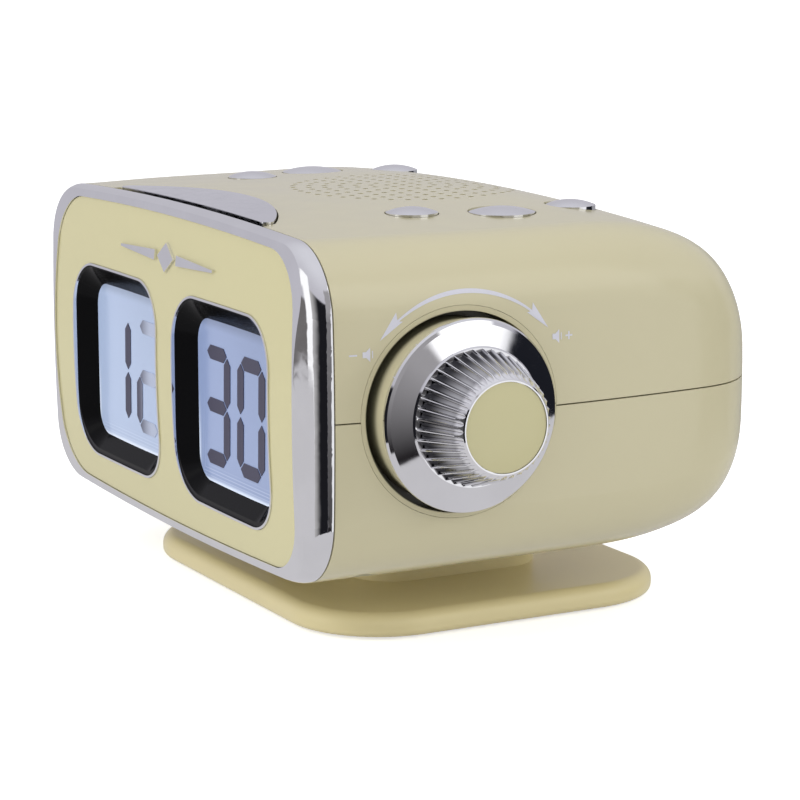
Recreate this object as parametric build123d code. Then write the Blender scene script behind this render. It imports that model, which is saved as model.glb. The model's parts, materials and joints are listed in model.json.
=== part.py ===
from build123d import *
from math import cos, radians, sin, sqrt, tan
import os

os.makedirs("parts", exist_ok=True)

# Clock radio on a pedestal foot.  Millimetres, +X to the right of a person facing the
# clock, +Y to its back, +Z up.  The origin is on the ground under the middle of the radio.

# ---- driving dimensions ---------------------------------------------------------------
front_y = -73.0            # foremost point of the crowned face
rear_y = 73.0              # flat of the back
wall = 2.5                 # moulded housing wall
fit = 0.3                  # clearance between neighbouring pieces
seam_y = front_y + 6.6     # back edge of the chromed bezel
seam_gap = 0.4             # shadow line between bezel and housing
parting_z = 68.5           # joint of the upper and lower shells
parting_gap = 0.4

# housing: a bowed rounded box that swells to its middle and rounds off to the back
widest_y = 1.0
half_width = 94.0          # at the seam
top_z = 116.2              # at the seam
bottom_z = 20.5
width_swell = 4.9
top_swell = 1.2
corner_r = 20.0
side_bow = 1.7
top_bow = 2.7              # at the seam
top_bow_swell = 1.6
nose_y = 75.8              # where the rounding of the back would close
side_round_y = 48.0        # where the sides begin to round in
roof_round_y = 20.0        # where roof and floor begin to round in
side_round = 29.8
roof_round = 35.3
floor_round = 26.0
rear_edge_r = 3.0
stations = [seam_y, -50, -25, widest_y, 20, 34, 46, 56, 64, 69.5, rear_y]

# crowned face
face_z = 68.4
face_a, face_b = 83.6, 44.6
face_bow_side, face_bow_top, face_r = 3.0, 2.0, 17.0
face_sagitta = 3.0
face_radius = (face_b**2 + face_sagitta**2) / (2 * face_sagitta)
panel_thick = 2.2
bezel_proud = 0.5

# display windows
window_x, window_z = 37.1, 62.9
window_a, window_b, window_r = 31.85, 29.7, 14.5
trim_width = 0.65
lcd_a, lcd_b, lcd_r = 25.6, 23.35, 7.4
lcd_z = 62.6
lcd_y = front_y + 5.5
lcd_thick = 1.8
lcd_margin = 2.4

# seven-segment figures
digit_height = 34.0
digit_width = 17.5
digit_stroke = 4.0
digit_pitch = 22.3
digit_group_x = 35.15
digit_z = 61.65
digit_lean = tan(radians(2))
segment_gap = 0.45
print_thick = 0.2

# knobs, one on each side, on a common axis
knob_y, knob_z = -30.7, 69.1
recess_r = 27.0
recess_ring = 1.5
recess_floor_x = 90.0
skirt_r = 25.9
grip_base_r, grip_base_x = 18.3, 106.3
grip_top_r, grip_top_x = 14.3, 119.0
bevel_r, bevel_x = 12.7, 120.9
flutes = 40
flute_depth = 1.0
flute_land = 0.25
cap_r = 11.9
cap_rise = 0.9
collar_r = 24.9            # fixed collar behind the chromed disc
collar_x = 101.2
shaft_r = 2.95
bore_r = 3.02

# top controls
snooze_arc_r = 88.0
snooze_back_y = front_y + 26.5
snooze_front_y = seam_y + 1.6
snooze_half = 52.0         # where its corners begin to round
snooze_proud = 0.6
snooze_thick = 2.5
snooze_stem_x, snooze_stem_y = 30.0, -58.0
travel = 1.0
button_rise = 0.9
button_dome = 1.5
button_flange = 1.0
# name: x, y, radius of the right-hand button; the left-hand ones are mirrored
button_places = {"front": (51.2, -20.2, 7.3), "middle": (58.7, 4.2, 9.3), "rear": (52.7, 30.2, 7.2)}
key_board_z = 100.0
board_thick = 1.6
switch_top = key_board_z + board_thick + 3.5
plunger_top = switch_top + 1.2

# loudspeaker under the perforated roof
speaker_y = 4.7
grille_pitch = 4.65
grille_hole_r = 0.9
grille_rings = 7
cloth_z, cloth_r = 110.4, 33.7
speaker_flange_r = 40.0
speaker_cone_r = 31.0
speaker_screw_r = 37.0
speaker_flange_z = 107.6
magnet_r, magnet_low, magnet_high = 20.0, 76.0, 88.0

# pedestal
base_y = 3.7
base_a, base_b, base_r = 69.8, 57.7, 28.4
base_low, base_high = 0.8, 7.6
neck_a, neck_b, neck_r = 38.0, 30.0, 14.0
neck_top = 24.6
foot_r, foot_high = 7.0, 1.6
foot_x, foot_y = 50.0, 38.0
base_screw_x, base_screw_y = 28.0, 20.0

# backup battery bay, for two AAA cells
bay = (47.0, 23.0, 12.4)
bay_low = 2.9
bay_wall = 1.2
door = (54.0, 30.0, 1.7)

# boards and rear sockets
main_board_z = 40.0
main_board = (120.0, 76.0)
main_board_y = 24.0
socket_z = 50.0
dc_x, aux_x, gland_x = -42.0, -16.0, 42.0
dc_bore_r, aux_bore_r = 2.85, 1.8
aerial_y, aerial_z = 54.0, 86.0
screw_posts = [(82.0, -53.0), (80.0, 42.0)]
post_r = 4.5
big = 400.0


# ---- helpers --------------------------------------------------------------------------
def write(name, shape):
    """Write one piece as its own STEP file."""
    shape.label = name
    export_step(shape, f"parts/{name}.step")


def upright(y):
    """Drawing plane facing forward at y, with local x = X and local y = Z."""
    return Plane(origin=(0, y, 0), x_dir=(1, 0, 0), z_dir=(0, -1, 0))


def block(x0, x1, y0, y1, z0, z1):
    """Box from its limits."""
    box = Box(abs(x1 - x0), abs(y1 - y0), abs(z1 - z0))
    return Pos((x0 + x1) / 2, (y0 + y1) / 2, (z0 + z1) / 2) * box


def rod(x, y, z0, z1, r):
    """Upright cylinder between two heights."""
    return Pos(x, y, (z0 + z1) / 2) * Cylinder(r, abs(z1 - z0))


def rod_x(x0, x1, y, z, r):
    """Cylinder along X."""
    return Pos((x0 + x1) / 2, y, z) * Rot(0, 90, 0) * Cylinder(r, abs(x1 - x0))


def rod_y(x, y0, y1, z, r):
    """Cylinder along Y."""
    return Pos(x, (y0 + y1) / 2, z) * Rot(90, 0, 0) * Cylinder(r, abs(y1 - y0))


def mirrored(shape):
    """The same piece on the other side of the middle plane."""
    return mirror(shape, about=Plane.YZ)


def union(shapes):
    """One solid, or one group of separate solids, from a list."""
    total = shapes[0]
    for shape in shapes[1:]:
        total = total + shape
    return total


def bowed_outline(a, b, bow_side, bow_top, r):
    """Rounded rectangle with outward-bowed sides; a and b are its greatest half sizes."""
    x, y = a - bow_side, b - bow_top
    sides = [
        ThreePointArc((x, -y), (a, 0), (x, y)),
        ThreePointArc((x, y), (0, b), (-x, y)),
        ThreePointArc((-x, y), (-a, 0), (-x, -y)),
        ThreePointArc((-x, -y), (0, -b), (x, -y)),
    ]
    drawing = make_face(sides)
    return fillet(drawing.vertices(), r)


def bowed_prism(a, b, bow_side, bow_top, r, x, z, y0, y1):
    """Prism along Y with a bowed outline, from y0 back to y1."""
    drawing = upright(y1) * Pos(x, z) * bowed_outline(a, b, bow_side, bow_top, r)
    return extrude(drawing, y1 - y0)


def swell(y):
    """0 at the seam, 1 at the widest place."""
    return 1 - ((y - widest_y) / (widest_y - seam_y)) ** 2


def rounding(y, start):
    """Quarter-ellipse fall towards the nose, 0 before start."""
    u = max(0.0, (y - start) / (nose_y - start))
    return 1 - sqrt(1 - u * u)


def roof_height(x, y):
    """Height of the housing's roof over a place well inside the corner rounding."""
    _, _, crest, bow = section_sizes(y)
    return crest - bow * (x / (half_width - corner_r + 4)) ** 2


def section_sizes(y):
    """Half width, floor height, roof height and roof bow of the housing at y."""
    a = half_width + width_swell * swell(y) - side_round * rounding(y, side_round_y)
    low = bottom_z + floor_round * rounding(y, roof_round_y)
    high = top_z + top_swell * swell(y) - roof_round * rounding(y, roof_round_y)
    return a, low, high, top_bow + top_bow_swell * max(0.0, swell(y))


def housing_loft(inset):
    """Housing volume, inset from its outside by a wall thickness."""
    drawings = []
    for y in stations:
        a, low, high, bow = section_sizes(y)
        outline = bowed_outline(a - inset, (high - low) / 2 - inset, side_bow, bow, corner_r - inset)
        drawings.append(upright(y - inset) * Pos(0, (high + low) / 2) * outline)
    return loft(drawings)


def crowned(offset):
    """Cylinder whose front is the crowned face, moved forward by offset."""
    radius = face_radius + offset
    middle = Pos(0, front_y + face_radius, face_z)
    return middle * Rot(0, 90, 0) * Cylinder(radius, big)


def roof_skin(drawing, raise_by, thickness):
    """Slab over an XY drawing that follows the roof."""
    column = extrude(Pos(0, 0, 60) * drawing, 100)
    return (column & (Pos(0, 0, raise_by) * outer)) - Pos(0, 0, raise_by - thickness) * outer


def half_space(z0, z1):
    return block(-big, big, -big, big, z0, z1)


outer = housing_loft(0)
outer = fillet(outer.faces().sort_by(Axis.Y)[-1].edges(), rear_edge_r)
inner = housing_loft(wall)
lip_inside = housing_loft(wall + 1.2)
ahead_of_housing = block(-big, big, -big, seam_y + seam_gap, -big, big)


# ---- housing shells -------------------------------------------------------------------
def snooze_drawing(grow):
    """Crescent of the snooze bar: straight front, arc at the back, grown on every side."""
    disc = Pos(0, snooze_back_y - snooze_arc_r) * Circle(snooze_arc_r + grow)
    ahead = Pos(0, snooze_front_y - grow - big / 2) * Rectangle(big, big)
    drawing = disc - ahead
    return fillet(drawing.vertices(), 2.0 + grow)


def grille_holes():
    """Hole centres on rings round the middle of the grille."""
    places = [(0.0, 0.0)]
    for ring in range(1, grille_rings + 1):
        count = 6 * ring
        for k in range(count):
            turn = radians(360 * k / count)
            places.append((ring * grille_pitch * cos(turn), ring * grille_pitch * sin(turn)))
    return places


def knob_hole(r):
    """Round hole for a knob recess through both sides."""
    return rod_x(86, 110, knob_y, knob_z, r) + rod_x(-110, -86, knob_y, knob_z, r)


def sides(shapes):
    """The given right-hand shapes and their mirror images."""
    return union([*shapes, *[mirrored(s) for s in shapes]])


def upper_shell():
    shell = (outer - inner) & half_space(parting_z + parting_gap / 2, big)
    shell = shell - ahead_of_housing
    posts = [rod(x, y, parting_z + 0.2, 130, post_r) & outer for x, y in screw_posts]
    shell = shell + (sides(posts) - ahead_of_housing)
    hangers = []
    for angle in (45, 135, 225, 315):
        x = speaker_screw_r * cos(radians(angle))
        y = speaker_y + speaker_screw_r * sin(radians(angle))
        hangers.append(rod(x, y, speaker_flange_z + 1.7, 130, 3.0) & outer)
    shell = shell + union(hangers)
    pilot = [rod(x, y, 60, 84, 1.5) for x, y in screw_posts]
    shell = shell - sides(pilot)
    perforation = [Pos(x, speaker_y + y, 115) * Cylinder(grille_hole_r, 14) for x, y in grille_holes()]
    shell = shell - Compound(children=perforation)
    wells = [rod(x, y, 100, 130, r + fit) for x, y, r in button_places.values()]
    shell = shell - sides(wells)
    notch = extrude(Pos(0, 0, 100) * snooze_drawing(0.5), 30)
    front_slot = block(-snooze_half, snooze_half, seam_y - 5, snooze_front_y + 1, 100, 130)
    return shell - notch - front_slot - knob_hole(recess_r + recess_ring)


def lower_shell():
    shell = (outer - inner) & half_space(-big, parting_z - parting_gap / 2)
    lip = (inner - lip_inside) & half_space(parting_z - 3, parting_z + 2.2)
    lip = lip - block(-big, big, -big, seam_y + 5.5, -big, big)
    shell = (shell + lip) - ahead_of_housing
    posts = [rod(x, y, 0, parting_z - 0.2, post_r) & outer for x, y in screw_posts]
    shell = shell + sides(posts)
    shell = shell - sides([rod(x, y, 0, parting_z + 5, 1.7) for x, y in screw_posts])
    shell = shell - sides([rod(x, y, 0, 58, 3.2) for x, y in screw_posts])
    bosses = []
    for y in (main_board_y - 32, main_board_y + 32):
        bosses.append(rod(54, y, 0, main_board_z, 3.5) & outer)
    shell = shell + sides(bosses)
    opening = Pos(0, base_y, 20) * extrude(RectangleRounded(2 * neck_a + 0.6, 2 * neck_b + 0.6, neck_r), 10, both=True)
    shell = shell - opening - knob_hole(recess_r + recess_ring)
    shell = shell - rod_y(dc_x, 60, 90, socket_z, 5.2) - rod_y(aux_x, 60, 90, socket_z, 3.7)
    shell = shell - rod_y(gland_x, 60, 90, socket_z, 3.2)
    keep_clear = block(-72, 72, -big, -57.5, 26.5, 110)
    return shell - (keep_clear & lip_inside)


# ---- front ----------------------------------------------------------------------------
def front_bezel():
    """Chromed frame: its rounded band runs from the seam to the crowned face."""
    rings = [(6.6, 94.0, 47.8, 20.0), (4.6, 93.5, 47.5, 20.0), (2.6, 91.6, 46.7, 19.0),
             (1.0, 88.3, 45.8, 18.0), (0.0, 85.0, 45.1, 17.5), (-0.6, 83.9, 44.8, 17.3)]
    drawings = []
    for depth, a, b, r in rings:
        outline = bowed_outline(a, b, 1.75 + 0.2 * (6.6 - depth), 2.6 - 0.1 * (6.6 - depth), r)
        drawings.append(upright(front_y + depth) * Pos(0, face_z) * outline)
    band = loft(drawings) & crowned(bezel_proud)
    cavity = bowed_prism(face_a, face_b, face_bow_side, face_bow_top, face_r,
                         0, face_z, front_y - 5, seam_y - 1.2)
    rear_hole = bowed_prism(82.0, 43.2, face_bow_side, face_bow_top, face_r - 1.5,
                            0, face_z, front_y - 5, seam_y + 8)
    tongue = bowed_prism(91.2, 44.9, 1.7, 2.7, 17.3, 0, face_z, seam_y - 0.6, seam_y + 5)
    tongue = tongue - bowed_prism(89.4, 43.2, 1.7, 2.7, 15.5, 0, face_z, seam_y + 1, seam_y + 6)
    return band - cavity + tongue - rear_hole


def windows(a, b, r, y0, y1, z=None):
    """Right and left window prisms."""
    height = window_z if z is None else z
    right = bowed_prism(a, b, 0.35, 0.2, r, window_x, height, y0, y1)
    return right, mirrored(right)


def front_panel():
    plate = bowed_prism(face_a - 0.1, face_b - 0.1, face_bow_side, face_bow_top, face_r,
                        0, face_z, front_y - 3, seam_y - 1.2)
    plate = (plate & crowned(0)) - crowned(-panel_thick)
    right, left = windows(window_a + 0.05, window_b + 0.05, window_r, front_y - 5, seam_y + 5)
    return plate - right - left


def window_trim():
    ring = windows(window_a, window_b, window_r, front_y - 3, front_y + 3.9)[0]
    hole = windows(window_a - trim_width, window_b - trim_width, window_r - trim_width,
                   front_y - 5, front_y + 9)[0]
    return (ring & crowned(0.35)) - hole


def display_frame():
    """Black frame that slopes in from the window to the display glass."""
    sleeve_a, sleeve_b = window_a - trim_width - 0.05, window_b - trim_width - 0.05
    sleeve = windows(sleeve_a, sleeve_b, window_r - 0.7, front_y - 3, lcd_y)[0] & crowned(-0.3)
    flange = windows(36.2, 32.6, 10, lcd_y - 0.55, lcd_y + lcd_thick)[0] & crowned(-panel_thick - 0.05)
    front = upright(front_y) * Pos(window_x, window_z) * bowed_outline(31.9, 29.8, 0.35, 0.2, 14.6)
    back = upright(lcd_y) * Pos(window_x, lcd_z) * bowed_outline(lcd_a, lcd_b, 0.25, 0.25, lcd_r)
    funnel = loft([front, back], ruled=True)
    pocket = windows(lcd_a + lcd_margin + 0.1, lcd_b + lcd_margin + 0.1, 5, lcd_y, lcd_y + 9, lcd_z)[0]
    return sleeve + flange - funnel - pocket


def lcd_glass():
    return windows(lcd_a + lcd_margin, lcd_b + lcd_margin, 4.9, lcd_y, lcd_y + lcd_thick, lcd_z)[0]


def backlight():
    low = lcd_y + lcd_thick + 0.1
    return windows(lcd_a + lcd_margin, lcd_b + lcd_margin, 4.9, low, low + 3.5, lcd_z)[0]


def display_board():
    y = lcd_y + lcd_thick + 3.7
    board = block(-72, 72, y, y + board_thick, 34, 94)
    driver = block(-9, 9, y + board_thick, y + board_thick + 1.6, 60, 74)
    connector = block(30, 52, y + board_thick, y + board_thick + 4.5, 38, 43)
    return board + driver + connector


def stroke(start, end):
    """Pointed hexagonal stroke of a figure between two joints of its skeleton."""
    (x0, z0), (x1, z1) = start, end
    length = sqrt((x1 - x0) ** 2 + (z1 - z0) ** 2)
    ux, uz = (x1 - x0) / length, (z1 - z0) / length
    half = digit_stroke / 2
    points = []
    for along, across in ((segment_gap, 0), (segment_gap + half, half), (length - segment_gap - half, half),
                          (length - segment_gap, 0), (length - segment_gap - half, -half),
                          (segment_gap + half, -half)):
        points.append((x0 + ux * along - uz * across, z0 + uz * along + ux * across))
    return points


def figure(x, strokes):
    """One printed seven-segment figure in front of the display glass."""
    w, h = (digit_width - digit_stroke) / 2, (digit_height - digit_stroke) / 2
    joints = {"a": ((-w, h), (w, h)), "b": ((w, h), (w, 0)), "c": ((w, 0), (w, -h)), "d": ((-w, -h), (w, -h)),
              "e": ((-w, 0), (-w, -h)), "f": ((-w, h), (-w, 0)), "g": ((-w, 0), (w, 0))}
    pieces = []
    for kind in strokes:
        points = [(x + px + pz * digit_lean, digit_z + pz) for px, pz in stroke(*joints[kind])]
        outline = make_face(Polyline(*points, close=True))
        pieces.append(extrude(upright(lcd_y) * outline, print_thick))
    return pieces


def pair(centre, first, second):
    return union(figure(centre - digit_pitch / 2, first) + figure(centre + digit_pitch / 2, second))


def front_ornament():
    """Plain lozenge between two tapered wings, raised from the face."""
    z = 101.0
    lozenge = Polyline((-5.5, 0), (0, 4.2), (5.5, 0), (0, -4.2), close=True)
    wing = Polyline((7.5, 1.5), (32, 0.35), (32, -0.35), (7.5, -1.5), close=True)
    drawing = make_face(lozenge) + make_face(wing) + mirror(make_face(wing), about=Plane.YZ)
    column = extrude(upright(front_y + 6) * Pos(0, z) * drawing, 12)
    return (column & crowned(0.8)) - crowned(0)


# ---- top controls ---------------------------------------------------------------------
def snooze_bar():
    cap = roof_skin(snooze_drawing(0), snooze_proud, snooze_thick)
    stems = [rod(x, snooze_stem_y, 106.0, 120, 2.6) for x in (-snooze_stem_x, snooze_stem_x)]
    stems.append(block(-3, 3, snooze_stem_y - 3, snooze_stem_y + 3, plunger_top + 3.4 + travel + fit, 120))
    under_cap = Pos(0, 0, snooze_proud - 0.8) * outer
    return cap + (union(stems) & under_cap)


def snooze_bracket():
    """Black shelf under the snooze bar that guides its stems and carries its switch."""
    stem_places = (-snooze_stem_x, snooze_stem_x)
    shelf = block(-62, 62, -63, -48, 103.0, 105.0)
    guides = [rod(x, snooze_stem_y, 103.0, 110.0, 4.4) for x in stem_places]
    ends = [block(57, 62, -57, -50, 103, 130) & (Pos(0, 0, -wall - fit) * outer)]
    holes = [rod(x, snooze_stem_y, 100.0, 115.0, 2.6 + fit) for x in stem_places]
    return shelf + union(guides) + sides(ends) - union(holes)


def push_button(x, y, r):
    """Domed cap with a retaining flange and a short stem."""
    roof = roof_height(x, y)
    flange_z = roof - 5.6
    sphere_r = (r**2 + button_dome**2) / (2 * button_dome)
    cap = rod(x, y, flange_z, roof + button_rise + button_dome, r)
    dome = Pos(x, y, roof + button_rise + button_dome - sphere_r) * Sphere(sphere_r)
    cap = cap & dome
    flange = rod(x, y, flange_z - 1.2, flange_z, r + button_flange)
    stem = rod(x, y, plunger_top + travel + fit, flange_z, 2.2)
    return cap + flange + stem


def tact_switch(x, y, z):
    return block(x - 3, x + 3, y - 3, y + 3, z, z + 3.5) + rod(x, y, z + 3.5, z + 4.7, 1.7)


def key_switches():
    top = key_board_z + board_thick
    right = [tact_switch(x, y, top) for x, y, _ in button_places.values()]
    return sides(right) + tact_switch(0, snooze_stem_y, 105.0)


def key_board():
    return block(46, 68, -30, 40, key_board_z, key_board_z + board_thick)


# ---- loudspeaker ----------------------------------------------------------------------
def cone_shell(r_low, r_high, z_low, z_high, thickness):
    height = z_high - z_low
    outside = Pos(0, speaker_y, (z_low + z_high) / 2) * Cone(r_low + thickness, r_high + thickness, height)
    inside = Pos(0, speaker_y, (z_low + z_high) / 2) * Cone(r_low, r_high, height)
    return outside - inside


def speaker_basket():
    rim = rod(0, speaker_y, speaker_flange_z, speaker_flange_z + 1.7, speaker_flange_r)
    rim = rim - rod(0, speaker_y, 100, 120, speaker_cone_r + 1.0)
    for angle in (45, 135, 225, 315):
        x = speaker_screw_r * cos(radians(angle))
        y = speaker_y + speaker_screw_r * sin(radians(angle))
        rim = rim - rod(x, y, 100, 120, 1.7)
    frame = cone_shell(17.5, 31.5, magnet_high + 1.0, speaker_flange_z + 0.5, 1.2)
    seat = rod(0, speaker_y, magnet_high + 0.1, magnet_high + 1.2, 18.5) - rod(0, speaker_y, 80, 95, 9.5)
    for turn in range(0, 180, 45):
        slot = Pos(0, speaker_y, 99) * Rot(0, 0, turn) * Box(100, 10, 12)
        frame = frame - slot
    return rim + frame + seat


def speaker_cone():
    """Paper cone with its dust cap."""
    paper = cone_shell(8.0, speaker_cone_r - 0.6, 96.0, speaker_flange_z + 1.2, 0.5)
    cap = Pos(0, speaker_y, 90.6) * Sphere(10.5) - Pos(0, speaker_y, 90.6) * Sphere(10.0)
    return paper + (cap & block(-20, 20, speaker_y - 20, speaker_y + 20, 97.0, 105)) + voice_coil()


def voice_coil():
    return rod(0, speaker_y, magnet_high + 1.5, 97.2, 8.4) - rod(0, speaker_y, 80, 99, 7.9)


def speaker_magnet():
    return rod(0, speaker_y, magnet_low, magnet_high, magnet_r)


def grille_cloth():
    return rod(0, speaker_y, cloth_z, cloth_z + 0.4, cloth_r)


# ---- side knobs -----------------------------------------------------------------------
def turned(points):
    """Solid of revolution about the knob axis from (x, radius) points."""
    outline = make_face(Polyline(*points, close=True))
    profile = Pos(0, knob_y, knob_z) * outline
    return revolve(profile, Axis((0, knob_y, knob_z), (1, 0, 0)))


def knob_recess():
    """Round well in the side of the housing, with a collar that stands up behind the disc."""
    r = recess_r + recess_ring - 0.1
    cup = rod_x(recess_floor_x - 2, 112, knob_y, knob_z, r) & outer
    cup = cup - rod_x(recess_floor_x, 112, knob_y, knob_z, recess_r)
    collar = rod_x(recess_floor_x - 1, collar_x, knob_y, knob_z, collar_r)
    collar = collar - rod_x(recess_floor_x, 112, knob_y, knob_z, collar_r - 2.0)
    return cup + collar - rod_x(80, 112, knob_y, knob_z, 4.6)


def knob_skirt():
    """Chromed disc: rolled rim and a shallow cone up to the grip, on a hollow hub."""
    return turned([(101.6, 25.3), (101.6, 22.0), (104.2, 15.0), (104.2, 5.5), (96.6, 5.5), (96.6, shaft_r),
                   (grip_base_x, shaft_r), (grip_base_x, grip_base_r + 0.2),
                   (grip_base_x - 0.3, grip_base_r + 0.6), (grip_base_x - 0.9, grip_base_r + 0.5),
                   (103.8, 24.4), (103.4, 25.3), (102.9, 25.8), (102.3, skirt_r),
                   (101.8, 25.7)])


def grip_radius(x):
    """Radius of the ridges of the tapered grip."""
    return grip_base_r + (grip_top_r - grip_base_r) * (x - grip_base_x) / (grip_top_x - grip_base_x)


def groove_circle(x):
    """Section of the round cutter that leaves one flute, at x on the grip's crown."""
    r = grip_radius(x)
    chord = 2 * r * sin(radians(180 / flutes)) - flute_land
    radius = (chord**2 / 4 + flute_depth**2) / (2 * flute_depth)
    plane = Plane(origin=(x, 0, r - flute_depth + radius), x_dir=(0, 1, 0), z_dir=(1, 0, 0))
    return plane * Circle(radius)


def knob_grip():
    """Grip with round-bottomed flutes, bevelled to a plain ring that holds the cap."""
    body = turned([(grip_base_x, 0), (grip_base_x, grip_base_r), (grip_top_x, grip_top_r),
                   (bevel_x, bevel_r), (bevel_x + 0.25, bevel_r - 0.35), (bevel_x + 0.25, 0)])
    cutter = loft([groove_circle(grip_base_x - 0.5), groove_circle(bevel_x + 1)], ruled=True)
    middle = Pos(0, knob_y, knob_z)
    body = body - [middle * Rot(360 * k / flutes, 0, 0) * cutter for k in range(flutes)]
    well = rod_x(grip_top_x + 0.2, bevel_x + 2, knob_y, knob_z, cap_r + 0.08)
    return body - well - rod_x(100, 113, knob_y, knob_z, shaft_r)


def knob_cap():
    """Slightly domed cap in the end of the grip."""
    radius = (cap_r**2 + cap_rise**2) / (2 * cap_rise)
    disc = rod_x(grip_top_x + 0.2, 125, knob_y, knob_z, cap_r)
    return disc & (Pos(bevel_x + cap_rise - radius, knob_y, knob_z) * Sphere(radius))


def knob_shaft():
    return rod_x(82.0, 113.0, knob_y, knob_z, shaft_r)


def encoder():
    """Rotary encoder and its nut: case behind the recess floor, bushing through it."""
    case = block(79.5, recess_floor_x - 2, knob_y - 7, knob_y + 7, knob_z - 7.5, knob_z + 7.5)
    bushing = rod_x(recess_floor_x - 2.5, 95.6, knob_y, knob_z, 4.5)
    pins = [block(73, 80, knob_y + k * 4 - 0.5, knob_y + k * 4 + 0.5, knob_z - 6, knob_z - 5) for k in (-1, 0, 1)]
    body = case + bushing + union(pins) - rod_x(81.5, 100, knob_y, knob_z, bore_r)
    return Compound(children=[body, encoder_nut()])


def encoder_nut():
    hexagon = RegularPolygon(7.0, 6)
    plane = Plane(origin=(recess_floor_x, knob_y, knob_z), x_dir=(0, 1, 0), z_dir=(1, 0, 0))
    return extrude(plane * hexagon, 2.2) - rod_x(80, 100, knob_y, knob_z, 4.55)


# ---- boards, sockets and aerial -------------------------------------------------------
def board():
    half = main_board[0] / 2
    plate = block(-half, half, main_board_y - main_board[1] / 2, main_board_y + main_board[1] / 2,
                  main_board_z, main_board_z + board_thick)
    holes = [rod(54, y, 30, 50, 1.6) for y in (main_board_y - 32, main_board_y + 32)]
    return plate - sides(holes)


def board_parts():
    """Tuner can, chips, capacitors and power parts on the main board, one group."""
    top = main_board_z + board_thick
    pieces = [block(10, 40, 30, 52, top, top + 7), block(-12, 4, 8, 24, top, top + 2.2),
              block(-40, -30, -4, 20, top, top + 16), block(14, 28, -6, 8, top, top + 2)]
    for x, y, r, h in ((-24, 40, 5, 14), (-12, 40, 4, 11), (24, 18, 4, 10), (44, 8, 3.2, 8)):
        pieces.append(rod(x, y, top, top + h, r))
    return union(pieces)


def dc_jack():
    body = block(dc_x - 5, dc_x + 5, 57, rear_y - wall - 0.2, socket_z - 6.5, socket_z + 5.5)
    barrel = rod_y(dc_x, rear_y - wall - 0.5, rear_y - 0.2, socket_z, 4.9)
    jack = body + barrel - rod_y(dc_x, rear_y - 10.2, rear_y + 1, socket_z, dc_bore_r)
    return jack


def aux_jack():
    body = block(aux_x - 4, aux_x + 4, 56, rear_y - wall - 0.2, socket_z - 6.5, socket_z + 4)
    barrel = rod_y(aux_x, rear_y - wall - 0.5, rear_y - 0.2, socket_z, 3.4)
    return body + barrel - rod_y(aux_x, rear_y - 13.2, rear_y + 1, socket_z, aux_bore_r)


def antenna_gland():
    """Rubber grommet at the outlet for a wire aerial."""
    barrel = rod_y(gland_x, rear_y - 5, rear_y + 0.0, socket_z, 3.1)
    head = rod_y(gland_x, rear_y - 5, rear_y - 3.0, socket_z, 5.2)
    return barrel + head - rod_y(gland_x, rear_y - 3, rear_y + 3, socket_z, 0.9)


def ferrite_rod():
    return rod_x(-40, 40, aerial_y, aerial_z, 4.0)


def antenna_coil():
    return rod_x(12, 32, aerial_y, aerial_z, 5.6) - rod_x(10, 34, aerial_y, aerial_z, 4.05)


def rod_holders():
    """Two clips under the roof that hold the ferrite rod."""
    clips = []
    for x in (-30, -2):
        hanger = block(x - 2, x + 2, aerial_y - 5.5, aerial_y + 5.5, aerial_z - 6.5, 125) & inner
        clips.append(hanger - rod_x(x - 5, x + 5, aerial_y, aerial_z, 4.05))
    return union(clips)


# ---- pedestal -------------------------------------------------------------------------
def rounded_slab(a, b, r, z0, z1):
    return Pos(0, base_y, z0) * extrude(RectangleRounded(2 * a, 2 * b, r), z1 - z0)


def clamp_screw_places():
    return [(base_screw_x, base_y - base_screw_y), (base_screw_x, base_y + base_screw_y)]


def base_foot():
    """Moulded foot: soft-edged plate with the mouth of the battery bay."""
    plate = rounded_slab(base_a, base_b, base_r, base_low, base_high)
    plate = fillet(plate.faces().sort_by(Axis.Z)[-1].edges(), 3.6)
    plate = fillet(plate.faces().sort_by(Axis.Z)[0].edges(), 2.0)
    length, width = bay[0] / 2 + bay_wall + 0.1, bay[1] / 2 + bay_wall + 0.1
    plate = plate - block(-length, length, base_y - width, base_y + width, 0, base_high + 1)
    length, width = door[0] / 2 + fit, door[1] / 2 + fit
    plate = plate - block(-length, length, base_y - width, base_y + width, 0, bay_low - 0.1)
    pilots = [rod(x, y, 3.5, base_high + 1, 1.5) for x, y in clamp_screw_places()]
    return plate - sides(pilots) - feet(foot_r + 0.05)


def foot_neck():
    """Hollow neck between the foot and the housing, closed at its top."""
    neck = rounded_slab(neck_a, neck_b, neck_r, base_high, neck_top)
    hollow = rounded_slab(neck_a - 2.5, neck_b - 2.5, neck_r - 2.5, base_high - 1, neck_top - 2.5)
    bosses = [rod(x, y, base_high, neck_top - 1, 4.0) for x, y in clamp_screw_places()]
    holes = [rod(x, y, 0, 40, 1.6) for x, y in clamp_screw_places()]
    return neck - hollow + sides(bosses) - sides(holes)


def feet(r):
    places = [(foot_x, base_y - foot_y), (foot_x, base_y + foot_y)]
    return sides([rod(x, y, 0, foot_high, r) for x, y in places])


def neck_clamp():
    plate = rounded_slab(42.0, 32.0, 15.0, neck_top + 0.6, neck_top + 3.0) & inner
    return plate - sides([rod(x, y, 20, 40, 1.6) for x, y in clamp_screw_places()])


def screws(places, head_z, tip_z, up):
    """Group of equal screws; up is +1 when the heads are on top."""
    group = []
    for x, y in places:
        for side in (-1, 1):
            head = rod(side * x, y, head_z, head_z + up * 2.4, 2.9)
            thread = rod(side * x, y, tip_z, head_z, 1.45)
            socket = rod(side * x, y, head_z + up * 1.2, head_z + up * 3, 1.2)
            group.append(head + thread - socket)
    return union(group)


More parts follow.
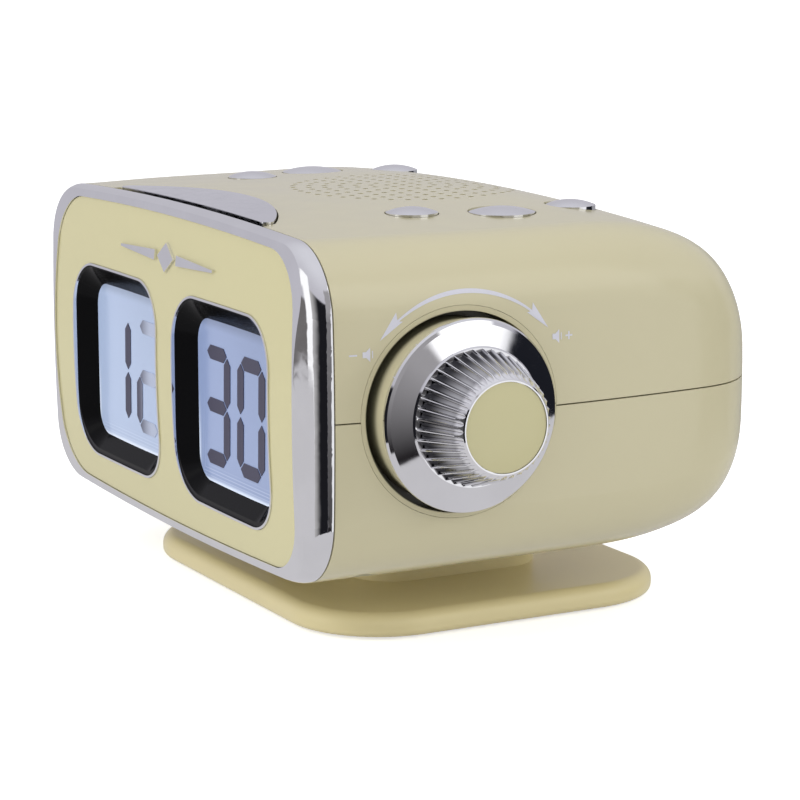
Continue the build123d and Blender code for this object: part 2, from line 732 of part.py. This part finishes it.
def battery_box():
    x, y, z = bay
    low, high = bay_low, bay_low + z
    outside = block(-x / 2 - bay_wall, x / 2 + bay_wall, base_y - y / 2 - bay_wall,
                    base_y + y / 2 + bay_wall, low, high + bay_wall)
    return outside - block(-x / 2, x / 2, base_y - y / 2, base_y + y / 2, low - 1, high)


def battery_contacts():
    """Four sprung contact plates at the ends of the bay."""
    plates = []
    for y in (base_y - 5.7, base_y + 5.7):
        plates.append(block(bay[0] / 2 - 0.7, bay[0] / 2 - 0.05, y - 4, y + 4, bay_low + 2, bay_low + 10))
    return sides(plates)


def battery_door():
    x, y, z = door
    lid = block(-x / 2, x / 2, base_y - y / 2, base_y + y / 2, base_low + 0.1, base_low + 0.1 + z)
    grip = [block(20 + 2 * k, 21 + 2 * k, base_y - 7, base_y + 7, 0, base_low + 0.6) for k in range(3)]
    return lid - union(grip)


# ---- output ---------------------------------------------------------------------------
def both_sides(name, shape):
    write(f"{name}_right", shape)
    write(f"{name}_left", mirrored(shape))


write("upper_shell", upper_shell())
write("lower_shell", lower_shell())
write("front_bezel", front_bezel())
write("front_panel", front_panel())
write("front_ornament", front_ornament())
both_sides("window_trim", window_trim())
both_sides("display_frame", display_frame())
both_sides("lcd_glass", lcd_glass())
both_sides("backlight", backlight())
write("hour_digits", pair(-digit_group_x, "bc", "abged"))
write("minute_digits", pair(digit_group_x, "abgcd", "abcdef"))
write("display_board", display_board())

write("snooze_bar", snooze_bar())
write("snooze_bracket", snooze_bracket())
for place, (x, y, r) in button_places.items():
    both_sides(f"button_{place}", push_button(x, y, r))
write("key_switches", key_switches())
both_sides("key_board", key_board())

write("speaker_basket", speaker_basket())
write("speaker_cone", speaker_cone())
write("speaker_magnet", speaker_magnet())
write("grille_cloth", grille_cloth())

for knob, flip in (("volume", False), ("tuning", True)):
    pieces = {"recess": knob_recess(), "skirt": knob_skirt(), "grip": knob_grip(), "cap": knob_cap(),
              "shaft": knob_shaft(), "encoder": encoder()}
    for piece, shape in pieces.items():
        write(f"{knob}_{piece}", mirrored(shape) if flip else shape)

write("main_board", board())
write("board_parts", board_parts())
write("dc_jack", dc_jack())
write("aux_jack", aux_jack())
write("antenna_gland", antenna_gland())
write("ferrite_rod", ferrite_rod())
write("antenna_coil", antenna_coil())
write("rod_holders", rod_holders())

write("base_foot", base_foot())
write("foot_neck", foot_neck())
write("rubber_feet", feet(foot_r))
write("neck_clamp", neck_clamp())
write("base_screws", screws(clamp_screw_places(), neck_top + 3.0, 4.0, 1))
write("case_screws", screws(screw_posts, 58.0, 80.0, -1))
write("battery_box", battery_box())
write("battery_contacts", battery_contacts())
write("battery_door", battery_door())
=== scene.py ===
import json
from math import cos, pi, radians, sin

import bmesh
import bpy
from mathutils import Matrix, Vector
from mathutils.bvhtree import BVHTree

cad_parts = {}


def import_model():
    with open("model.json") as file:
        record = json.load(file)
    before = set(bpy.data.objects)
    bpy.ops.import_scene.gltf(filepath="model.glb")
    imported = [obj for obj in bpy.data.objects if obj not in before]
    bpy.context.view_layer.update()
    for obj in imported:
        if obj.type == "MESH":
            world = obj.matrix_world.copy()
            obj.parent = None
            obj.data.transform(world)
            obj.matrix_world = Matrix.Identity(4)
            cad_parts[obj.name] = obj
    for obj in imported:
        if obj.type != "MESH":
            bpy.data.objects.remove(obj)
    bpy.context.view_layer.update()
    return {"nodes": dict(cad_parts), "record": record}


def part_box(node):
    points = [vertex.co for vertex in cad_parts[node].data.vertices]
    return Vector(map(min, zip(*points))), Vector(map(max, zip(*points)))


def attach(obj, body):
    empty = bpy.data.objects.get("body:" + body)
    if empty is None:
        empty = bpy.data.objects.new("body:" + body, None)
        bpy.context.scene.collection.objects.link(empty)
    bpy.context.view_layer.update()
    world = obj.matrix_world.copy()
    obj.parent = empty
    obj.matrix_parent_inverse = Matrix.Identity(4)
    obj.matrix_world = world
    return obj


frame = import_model()
scene = bpy.context.scene
nodes = frame["nodes"]

# ---- measures taken from the frame ------------------------------------------------------
def centre(name):
    low, high = (Vector(v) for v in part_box(name))
    return (low + high) / 2


def half(name):
    low, high = (Vector(v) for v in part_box(name))
    return (high - low) / 2


knob = centre("volume_grip")
glass_right = centre("lcd_glass_right")
glass_left = centre("lcd_glass_left")


# ---- node helpers -----------------------------------------------------------------------
class Nodes:
    """A node tree with short calls for the nodes used here."""

    def __init__(self, tree, coordinate):
        self.tree = tree
        self.place = tree.nodes.new("ShaderNodeTexCoord").outputs[coordinate]

    def link(self, source, target):
        self.tree.links.new(source, target)

    def feed(self, socket, value):
        """Set a socket to a number or colour, or link it."""
        if isinstance(value, bpy.types.NodeSocket):
            self.link(value, socket)
        elif isinstance(value, tuple) and len(value) == 3 and socket.type == "RGBA":
            socket.default_value = (*value, 1)
        else:
            socket.default_value = value

    def noise(self, scale, detail=3.0, rough=0.5, stretch=None):
        node = self.tree.nodes.new("ShaderNodeTexNoise")
        node.inputs["Scale"].default_value = scale
        node.inputs["Detail"].default_value = detail
        node.inputs["Roughness"].default_value = rough
        self.link(self.scaled(stretch) if stretch else self.place, node.inputs["Vector"])
        return node.outputs["Fac"]

    def scaled(self, stretch):
        node = self.tree.nodes.new("ShaderNodeMapping")
        node.inputs["Scale"].default_value = stretch
        self.link(self.place, node.inputs["Vector"])
        return node.outputs["Vector"]

    def axis(self, letter):
        node = self.tree.nodes.new("ShaderNodeSeparateXYZ")
        self.link(self.place, node.inputs[0])
        return node.outputs[letter]

    def math(self, kind, *values):
        """One Math node; each value is a number or a socket."""
        node = self.tree.nodes.new("ShaderNodeMath")
        node.operation = kind
        for socket, value in zip(node.inputs, values):
            self.feed(socket, value)
        return node.outputs[0]

    def span(self, value, low, high, to_low=0.0, to_high=1.0, smooth=True):
        """Map value from low..high to to_low..to_high, held at both ends."""
        node = self.tree.nodes.new("ShaderNodeMapRange")
        node.interpolation_type = "SMOOTHSTEP" if smooth else "LINEAR"
        ends = {"From Min": low, "From Max": high, "To Min": to_low, "To Max": to_high}
        for name, number in ends.items():
            node.inputs[name].default_value = number
        self.feed(node.inputs["Value"], value)
        return node.outputs["Result"]

    def mix(self, factor, first, second, blend="MIX"):
        node = self.tree.nodes.new("ShaderNodeMix")
        node.data_type = "RGBA"
        node.blend_type = blend
        self.feed(node.inputs["Factor"], factor)
        self.feed(node.inputs["A"], first)
        self.feed(node.inputs["B"], second)
        return node.outputs["Result"]


class Shader(Nodes):
    """A material built on the Principled shader."""

    def __init__(self, name):
        self.material = bpy.data.materials.new(name)
        self.material.use_nodes = True
        super().__init__(self.material.node_tree, "Object")
        self.out = self.tree.nodes["Principled BSDF"]

    def set(self, **values):
        names = {"rough": "Roughness", "metal": "Metallic", "coat": "Coat Weight",
                 "coat_rough": "Coat Roughness", "ior": "IOR", "sheen": "Sheen Weight",
                 "spec": "Specular IOR Level"}
        for key, value in values.items():
            self.out.inputs[names[key]].default_value = value

    def colour(self, value):
        self.feed(self.out.inputs["Base Color"], value)

    def glow(self, value, strength):
        self.feed(self.out.inputs["Emission Color"], value)
        self.out.inputs["Emission Strength"].default_value = strength

    def roughness(self, value):
        self.feed(self.out.inputs["Roughness"], value)

    def bump(self, height, strength, distance):
        node = self.tree.nodes.new("ShaderNodeBump")
        node.inputs["Strength"].default_value = strength
        node.inputs["Distance"].default_value = distance
        self.link(height, node.inputs["Height"])
        self.link(node.outputs["Normal"], self.out.inputs["Normal"])


def linear(r, g, b):
    """Linear colour from 0-255 display values."""
    def one(v):
        v = v / 255
        return v / 12.92 if v <= 0.04045 else ((v + 0.055) / 1.055) ** 2.4
    return one(r), one(g), one(b)


def shade(rgb, k):
    return tuple(v * k for v in rgb)


# ---- materials --------------------------------------------------------------------------
def moulded(name, rgb, rough=0.2, spread=0.012, coat=0.3, ior=1.5, ripple=70):
    """Gloss moulded plastic: faint colour drift, uneven polish and a slight moulding ripple."""
    s = Shader(name)
    drift = s.noise(9, 1)
    s.colour(s.mix(s.span(drift, 0.3, 0.7), shade(rgb, 1 - spread), shade(rgb, 1 + spread)))
    s.roughness(s.span(s.noise(ripple, 1), 0.3, 0.7, rough * 0.92, rough * 1.1))
    s.bump(s.noise(ripple, 1), 0.02, 0.0003)
    s.set(coat=coat, coat_rough=0.06, ior=ior)
    return s.material


def chrome(name, rgb=(0.86, 0.86, 0.88), rough=0.05):
    """Plated plastic: near-mirror with faint polish marks."""
    s = Shader(name)
    s.colour(s.mix(s.span(s.noise(60, 3), 0.35, 0.65), shade(rgb, 0.96), rgb))
    s.roughness(s.span(s.noise(220, 4), 0.3, 0.75, rough * 0.6, rough * 1.5))
    s.bump(s.noise(260, 2), 0.03, 0.0001)
    s.set(metal=1.0)
    return s.material


def plain(name, rgb, rough, metal=0.0, grain=1500, depth=0.15):
    """Unseen or minor surface: coloured by a fine noise, with a matching bump."""
    s = Shader(name)
    s.colour(s.mix(s.noise(grain / 4, 3), shade(rgb, 0.8), shade(rgb, 1.15)))
    s.roughness(s.span(s.noise(grain / 3, 2), 0.3, 0.7, rough * 0.85, min(1.0, rough * 1.15)))
    s.bump(s.noise(grain, 2), depth, 0.0002)
    s.set(metal=metal)
    return s.material


def display(name, where, base, edge, glow):
    """Lit display glass: soft gradient, shaded top, bright lower rim and fine moulded lines."""
    s = Shader(name)
    size = half("lcd_glass_right")
    margin = 0.0024            # glass hidden behind the frame, each side
    u = s.math("DIVIDE", s.math("SUBTRACT", s.axis("X"), where.x), size.x - margin)
    v = s.math("DIVIDE", s.math("SUBTRACT", s.axis("Z"), where.z), size.z - margin)
    vertical = s.mix(s.span(v, -1.0, 1.0), base, shade(base, 0.93))
    side = s.mix(s.span(u, -1.0, 0.6), shade(base, 1.07), vertical)
    far = s.math("MAXIMUM", s.math("ABSOLUTE", u), s.math("ABSOLUTE", v))
    rim = s.span(far, 0.93, 1.0)
    low = s.span(v, 0.2, -0.7)
    lit = s.mix(s.math("MULTIPLY", rim, low), side, edge)
    lines = s.math("MULTIPLY", s.span(s.math("SINE", s.math("MULTIPLY", far, 150.0)), 0.3, 1.0), low)
    lines = s.math("MULTIPLY", lines, s.span(far, 0.78, 0.86))
    lit = s.mix(s.math("MULTIPLY", lines, 0.22), lit, edge)
    shadow = s.span(v, 0.86, 1.0)
    lit = s.mix(s.math("MULTIPLY", shadow, 0.55), lit, shade(base, 0.45))
    lit = s.mix(s.math("MULTIPLY", s.noise(5000, 1), 0.04), lit, shade(base, 0.8))
    s.colour(lit)
    s.glow(lit, glow)
    s.set(rough=0.22, coat=0.6, coat_rough=0.08)
    s.bump(s.noise(2500, 1), 0.03, 0.00005)
    return s.material


WASHOUT_OFFSETS = (0.004, 0.0155)      # from the left glass's middle, where the painted washout starts and ends


def figure_print(name, washout):
    """Dark display figures; the hour's second figure pales towards its right side, a painted view-angle
    washout.
    """
    s = Shader(name)
    ink = linear(48, 46, 70)
    dark = s.mix(s.noise(900, 2), shade(ink, 0.85), shade(ink, 1.1))
    if washout:
        start, end = (glass_left.x + offset for offset in WASHOUT_OFFSETS)
        # Painted washout: the figure pales towards its right side.
        pale = s.span(s.axis("X"), start, end, 0.0, 0.65)
        dark = s.mix(pale, dark, linear(196, 206, 230))
    s.colour(dark)
    s.glow(dark, 0.2)
    s.set(rough=0.45, coat=0.3, coat_rough=0.1)
    return s.material


# Knob measures in metres: distance from the middle plane (x) or from the axle (radius).
GRIP_BASE_X, GRIP_TOP_X = 0.1063, 0.119
GRIP_BASE_RADIUS, GRIP_TOP_RADIUS = 0.0183, 0.0143
FLUTE_SHADE_FROM, FLUTE_SHADE_FULL = 0.0001, 0.0007      # depth below the flutes' crowns over which the painted shade comes in
GROOVE_SHADE_INSIDE = (0.0246, 0.0250)    # radius over which the groove's painted shade starts
GROOVE_SHADE_OUTSIDE = (0.0273, 0.0271)   # and where it stops
GROOVE_SHADE_X = (0.0978, 0.0950)         # x over which the painted shade deepens inwards


def from_axle(s):
    """Distance from the knobs' common axle."""
    across = s.math("SUBTRACT", s.axis("Y"), knob.y)
    up = s.math("SUBTRACT", s.axis("Z"), knob.z)
    return s.math("SQRT", s.math("ADD", s.math("MULTIPLY", across, across), s.math("MULTIPLY", up, up)))


def grip_chrome():
    """Chrome of the fluted grip, with painted shade inside its flutes, most of all next to the disc."""
    s = Shader("chrome_grip")
    along = s.math("ABSOLUTE", s.axis("X"))
    crown = s.span(along, GRIP_BASE_X, GRIP_TOP_X, GRIP_BASE_RADIUS, GRIP_TOP_RADIUS, smooth=False)
    flute_shade = s.span(s.math("SUBTRACT", crown, from_axle(s)), FLUTE_SHADE_FROM, FLUTE_SHADE_FULL)
    shade_near_disc = s.span(along, 0.1165, 0.1085, 0.45, 0.97)
    # Painted shade: the plating turns near black inside the flutes, most next to the disc and none at
    # the grip's top.
    dark = s.math("MULTIPLY", s.math("MULTIPLY", flute_shade, shade_near_disc), s.span(along, GRIP_TOP_X, 0.1175))
    plated = s.mix(s.noise(60, 3), (0.84, 0.84, 0.86), (0.95, 0.95, 0.96))
    s.colour(s.mix(dark, plated, (0.02, 0.02, 0.025)))
    s.roughness(s.span(s.noise(220, 4), 0.3, 0.75, 0.03, 0.07))
    s.bump(s.noise(260, 2), 0.03, 0.0001)
    s.set(metal=1.0)
    return s.material


def recess_plastic():
    """Cream moulding with painted shade down in the groove round the knob."""
    s = Shader("cream_recess")
    radius = from_axle(s)
    # Painted shade: dark olive in the groove, deeper inwards and broken a little by noise.
    depth = s.span(s.math("ABSOLUTE", s.axis("X")), *GROOVE_SHADE_X)
    groove = s.math("MULTIPLY", s.span(radius, *GROOVE_SHADE_INSIDE), s.span(radius, *GROOVE_SHADE_OUTSIDE))
    groove = s.math("MULTIPLY", depth, groove)
    shadow = s.math("MULTIPLY", groove, s.span(s.noise(60, 2), 0.0, 0.4, 0.8, 0.95))
    s.colour(s.mix(shadow, CREAM, linear(58, 56, 34)))
    s.roughness(s.span(s.noise(60, 1), 0.3, 0.7, 0.28, 0.34))
    s.bump(s.noise(70, 1), 0.02, 0.0003)
    s.set(ior=1.5)
    return s.material


def cloth():
    """Black woven speaker cloth."""
    s = Shader("speaker_cloth")
    threads = 7000.0           # radians per metre
    warp, weft = (s.math("SINE", s.math("MULTIPLY", s.axis(letter), threads)) for letter in "XY")
    weave = s.math("MULTIPLY", warp, weft)
    s.colour(s.mix(s.span(weave, -1, 1), (0.012, 0.011, 0.009), (0.05, 0.046, 0.036)))
    s.bump(weave, 0.5, 0.0002)
    s.set(rough=0.95, sheen=0.2)
    return s.material


CREAM = linear(199, 192, 160)
FACE = linear(204, 197, 152)
FOOT = linear(231, 218, 170)
chrome_parts = chrome("chrome_plate")

materials = {
    "housing": moulded("cream_housing", CREAM, 0.24),
    "recess": recess_plastic(),
    "face": moulded("cream_face", FACE, 0.2),
    "foot": moulded("cream_foot", FOOT, 0.3, ripple=12, coat=0.1),
    "knob_cap": moulded("cream_cap", linear(194, 188, 146), 0.22),
    "bezel": chrome_parts,
    "ornament": chrome("chrome_ornament", rough=0.1),
    "trim": chrome_parts,
    "button": chrome("chrome_buttons", rough=0.09),
    "snooze": chrome("chrome_snooze", (0.80, 0.80, 0.84), 0.16),
    "knob_skirt": chrome("chrome_disc", rough=0.06),
    "knob_grip": grip_chrome(),
    "display_frame": moulded("black_frame", (0.004, 0.004, 0.0045), 0.12, 0.2, 0.0, 1.18),
    "backlight": plain("light_guide", linear(200, 215, 240), 0.6),
    "circuit_board": plain("circuit_board", (0.02, 0.12, 0.05), 0.4),
    "black_plastic": plain("black_moulding", (0.012, 0.012, 0.012), 0.5),
    "switches": plain("switch_black", (0.02, 0.02, 0.02), 0.5),
    "steel": plain("plated_steel", (0.5, 0.5, 0.51), 0.35, 1.0),
    "paper_cone": plain("paper_cone", (0.03, 0.03, 0.03), 0.85),
    "magnet": plain("ferrite_magnet", (0.06, 0.06, 0.065), 0.7),
    "cloth": cloth(),
    "components": plain("components", (0.06, 0.06, 0.07), 0.5),
    "rubber": plain("rubber", (0.015, 0.015, 0.015), 0.85, 0.0, 2200, 0.3),
    "ferrite": plain("ferrite_rod", (0.05, 0.048, 0.048), 0.7),
    "copper": plain("copper_coil", (0.35, 0.12, 0.05), 0.4, 0.6),
    "brass": plain("contact_plate", (0.6, 0.52, 0.36), 0.3, 1.0),
}
GLOW = 0.2                     # of both lit displays
special = {
    # The left display's base is lighter than the right's: painted view-angle lightening.
    "lcd_glass_left": display("display_left", glass_left, linear(164, 180, 210),
                              linear(222, 232, 250), GLOW),
    "lcd_glass_right": display("display_right", glass_right, linear(136, 152, 190),
                               linear(220, 232, 252), GLOW),
    "hour_digits": figure_print("hour_print", True),
    "minute_digits": figure_print("minute_print", False),
}
slot_of = {part["node"]: part["material_slot"] for part in frame["record"]["subparts"]}
for name, node in nodes.items():
    material = special.get(name) or materials[slot_of[name]]
    if not node.material_slots:
        node.data.materials.append(material)
    for slot in node.material_slots:
        slot.material = material


# ---- printed marks on the side ----------------------------------------------------------
def surface_tree(names):
    """Search tree over the given CAD nodes, to lay prints on them."""
    vertices, faces = [], []
    for name in names:
        start = len(vertices)
        vertices += [v.co.copy() for v in nodes[name].data.vertices]
        faces += [[start + i for i in f.vertices] for f in nodes[name].data.polygons]
    return BVHTree.FromPolygons(vertices, faces)


housing_tree = surface_tree(["upper_shell", "lower_shell"])
PRINT_LIFT = 0.00008


def laid(y, z):
    """The point of the right side at (y, z), lifted a hair off it."""
    hit = housing_tree.ray_cast(Vector((0.3, y, z)), Vector((-1, 0, 0)))[0]
    return hit + Vector((PRINT_LIFT, 0, 0)) if hit else Vector((0.1, y, z))


def strip(mesh, left, right):
    """Ribbon of quads between two rows of (y, z) points."""
    a = [mesh.verts.new(laid(*p)) for p in left]
    b = [mesh.verts.new(laid(*p)) for p in right]
    for i in range(len(a) - 1):
        mesh.faces.new((a[i], a[i + 1], b[i + 1], b[i]))


def patch(mesh, points):
    mesh.faces.new([mesh.verts.new(laid(*p)) for p in points])


def polar(radius, degrees):
    """(y, z) at an angle from straight up, positive towards the back."""
    return knob.y + ARC_SHIFT + radius * sin(radians(degrees)), knob.z + radius * cos(radians(degrees))


def finished(mesh, name, material, body):
    data = bpy.data.meshes.new(name)
    bmesh.ops.recalc_face_normals(mesh, faces=mesh.faces)
    mesh.to_mesh(data)
    mesh.free()
    piece = bpy.data.objects.new(name, data)
    scene.collection.objects.link(piece)
    data.materials.append(material)
    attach(piece, body)
    return piece


def silver_print():
    s = Shader("silver_print")
    ink = linear(214, 214, 226)
    s.colour(s.mix(s.noise(2600, 2), shade(ink, 0.9), ink))
    s.set(coat=0.2)
    s.roughness(s.span(s.noise(900, 2), 0.3, 0.7, 0.3, 0.5))
    return s.material


ARC_SHIFT = 0.0015
ARC_RADIUS = 0.032
ARC_HALF = 37.5            # degrees each way before the arrowheads
ARC_WIDTH = 0.0012
HEAD_LENGTH = 12.5         # degrees
BARB_BACK = 2.0            # degrees a barb reaches back along the arc
BARB_OUT, BARB_IN = 0.0021, 0.0010


def volume_arc():
    mesh = bmesh.new()
    steps = 48
    angles = [-ARC_HALF + 2 * ARC_HALF * i / steps for i in range(steps + 1)]
    widths = [ARC_WIDTH * (0.45 + 0.55 * cos(radians(a) * 90 / ARC_HALF)) for a in angles]
    outer = [polar(ARC_RADIUS + w / 2, a) for a, w in zip(angles, widths)]
    inner = [polar(ARC_RADIUS - w / 2, a) for a, w in zip(angles, widths)]
    strip(mesh, outer, inner)
    for side in (-1, 1):
        base, barb = side * ARC_HALF, side * (ARC_HALF - BARB_BACK)
        tip = polar(ARC_RADIUS, base + side * HEAD_LENGTH)
        patch(mesh, [polar(ARC_RADIUS + BARB_OUT, barb), tip, polar(ARC_RADIUS, base)])
        patch(mesh, [polar(ARC_RADIUS, base), tip, polar(ARC_RADIUS - BARB_IN, barb)])
    return finished(mesh, "volume_arc", print_material, "housing")


def speaker_icon(mesh, y, z, size):
    """Small loudspeaker mark: box, flared cone and one sound bar."""
    k = size
    patch(mesh, [(y - 1.0 * k, z - 0.4 * k), (y - 0.5 * k, z - 0.4 * k), (y - 0.5 * k, z + 0.4 * k),
                 (y - 1.0 * k, z + 0.4 * k)])
    patch(mesh, [(y - 0.5 * k, z - 0.4 * k), (y + 0.1 * k, z - 1.0 * k), (y + 0.1 * k, z + 1.0 * k),
                 (y - 0.5 * k, z + 0.4 * k)])
    patch(mesh, [(y + 0.35 * k, z - 0.5 * k), (y + 0.5 * k, z - 0.5 * k), (y + 0.5 * k, z + 0.5 * k),
                 (y + 0.35 * k, z + 0.5 * k)])


def bar(mesh, y, z, width, height):
    patch(mesh, [(y - width, z - height), (y + width, z - height),
                 (y + width, z + height), (y - width, z + height)])


def volume_icons():
    mesh = bmesh.new()
    size, long, thin = 0.0019, 0.0011, 0.00022
    left, right = (-0.0566, 0.0863), (-0.0016, 0.0872)
    speaker_icon(mesh, *left, size)
    bar(mesh, left[0] - 0.0045, left[1], long, thin)
    speaker_icon(mesh, *right, size)
    bar(mesh, right[0] + 0.0032, right[1], long, thin)
    bar(mesh, right[0] + 0.0032, right[1], thin, long)
    return finished(mesh, "volume_icons", print_material, "housing")


print_material = silver_print()
volume_arc()
volume_icons()


# ---- studio -----------------------------------------------------------------------------
WORLD_LEVEL = 0.5


def floor():
    mesh = bmesh.new()
    rings, spokes, reach = 24, 64, 6.0
    middle = mesh.verts.new((0, 0, 0))
    last = None
    for i in range(1, rings + 1):
        radius = reach * (i / rings) ** 2
        row = [mesh.verts.new((radius * cos(2 * pi * k / spokes), radius * sin(2 * pi * k / spokes), 0))
               for k in range(spokes)]
        for k in range(spokes):
            a, b = row[k], row[(k + 1) % spokes]
            if last is None:
                mesh.faces.new((middle, a, b))
            else:
                mesh.faces.new((last[k], a, b, last[(k + 1) % spokes]))
        last = row
    data = bpy.data.meshes.new("floor")
    mesh.to_mesh(data)
    mesh.free()
    piece = bpy.data.objects.new("floor", data)
    scene.collection.objects.link(piece)
    s = Shader("floor_paper")
    s.colour(s.mix(s.noise(3, 2), (0.90, 0.90, 0.90), (0.93, 0.93, 0.93)))
    s.set(rough=0.9, spec=0.1)
    s.glow((1.0, 1.0, 1.0), 0.0)
    path = s.tree.nodes.new("ShaderNodeLightPath")
    s.link(s.math("MULTIPLY", path.outputs["Is Camera Ray"], 0.6), s.out.inputs["Emission Strength"])
    data.materials.append(s.material)
    piece.visible_glossy = False


LIGHTS = [                  # name, place, target, size, power in watts
    ("key", (0.1, -1.4, 1.2), (0, 0, 0.06), (1.0, 0.8), 8),
    ("front_fill", (-0.4, -1.4, 0.2), (0, 0, 0.05), (1.0, 0.35), 4.5),
    ("top", (0.0, 0.1, 1.6), (0, 0, 0), (1.4, 1.4), 6.5),
    ("side", (1.5, 0.0, 1.0), (0, 0, 0.06), (0.9, 0.9), 4),
    ("rear", (0.9, 1.3, 0.6), (0, 0, 0.06), (0.9, 0.6), 6),
]


def area(name, place, target, size, power):
    light = bpy.data.lights.new(name, "AREA")
    light.shape = "RECTANGLE"
    light.size, light.size_y = size
    light.energy = power
    holder = bpy.data.objects.new(name, light)
    holder.location = place
    holder.visible_glossy = False
    holder.rotation_euler = (Vector(target) - Vector(place)).to_track_quat("-Z", "Y").to_euler()
    scene.collection.objects.link(holder)


def world():
    """White to the camera, even light to matt surfaces, a studio of light and dark flats to gloss.

    The flats stay at fixed places round the object. Their places were chosen for the view of the
    photograph, so from other sides the chrome shows whichever of them it faces.
    """
    w = bpy.data.worlds.new("studio")
    scene.world = w
    w.use_nodes = True
    n = Nodes(w.node_tree, "Generated")
    x, y, z = n.axis("X"), n.axis("Y"), n.axis("Z")
    turn = n.math("MULTIPLY", n.math("ARCTAN2", y, x), 180 / pi)
    rise = n.math("MULTIPLY", n.math("ARCSINE", z), 180 / pi)

    def patch_mask(left, right, low, high, soft=1.8):
        mask = n.span(turn, left - soft, left + soft)
        mask = n.math("MULTIPLY", mask, n.span(turn, right + soft, right - soft))
        mask = n.math("MULTIPLY", mask, n.span(rise, low - soft, low + soft))
        return n.math("MULTIPLY", mask, n.span(rise, high + soft, high - soft))

    seen = n.mix(n.span(rise, 12, 75), (0.55, 0.54, 0.59), (0.74, 0.74, 0.79))
    grey = n.mix(n.span(rise, -24, 10, smooth=False), (0.02, 0.018, 0.02), (0.36, 0.35, 0.36))
    dark = n.mix(n.span(turn, -90, -62), (0.50, 0.49, 0.49), (0.012, 0.012, 0.015))
    # left, right, low and high limits in degrees, and the level seen there
    flats = [((-134, -106, -60, 3), (0.17, 0.16, 0.16)), ((-106, -88, -60, 36), (1.15, 1.15, 1.15)),
             ((-88, -24, -60, 20), dark), ((-24, 12, -60, 40), grey),
             ((12, 47, 12, 46), (1.4, 1.4, 1.4)), ((12, 47, -60, 14), (0.95, 0.95, 0.97)),
             ((47, 88, -60, 20), (0.012, 0.013, 0.018)), ((88, 140, -60, 8), (0.35, 0.35, 0.37))]
    for limits, level in flats:
        seen = n.mix(patch_mask(*limits), seen, level)
    edge = n.math("ADD", n.span(turn, 10, 58, -26.0, -13.5), n.span(turn, -86, -90, 0.0, 17.0))
    below = n.span(n.math("SUBTRACT", rise, edge), 0.6, -0.6)
    seen = n.mix(below, seen, (0.62, 0.61, 0.63))
    path = n.tree.nodes.new("ShaderNodeLightPath")
    even = n.mix(path.outputs["Is Glossy Ray"], (WORLD_LEVEL, WORLD_LEVEL, WORLD_LEVEL), seen)
    n.link(n.mix(path.outputs["Is Camera Ray"], even, (1.0, 1.0, 1.0)),
           n.tree.nodes["Background"].inputs["Color"])


CAMERA_PLACE = (0.72041, -0.38491, 0.21096)
CAMERA_TURN = (61.662, 10.944, -0.128)      # yaw, pitch and roll in degrees


def camera():
    """Three-quarter view from the right and a little above."""
    yaw, pitch, roll = (radians(angle) for angle in CAMERA_TURN)
    back = Vector((sin(yaw) * cos(pitch), -cos(yaw) * cos(pitch), sin(pitch)))
    right = Vector((cos(yaw), sin(yaw), 0))
    up = back.cross(right)
    right_2 = right * cos(roll) + up * sin(roll)
    up_2 = up * cos(roll) - right * sin(roll)
    data = bpy.data.cameras.new("camera")
    data.lens = 125.02
    data.sensor_width = 36.0
    data.clip_end = 50
    eye = bpy.data.objects.new("camera", data)
    eye.matrix_world = Matrix.Translation(CAMERA_PLACE) @ Matrix(
        (right_2, up_2, back)).transposed().to_4x4()
    scene.collection.objects.link(eye)
    scene.camera = eye


floor()
world()
camera()
for light in LIGHTS:
    area(*light)
scene.view_settings.view_transform = "Standard"
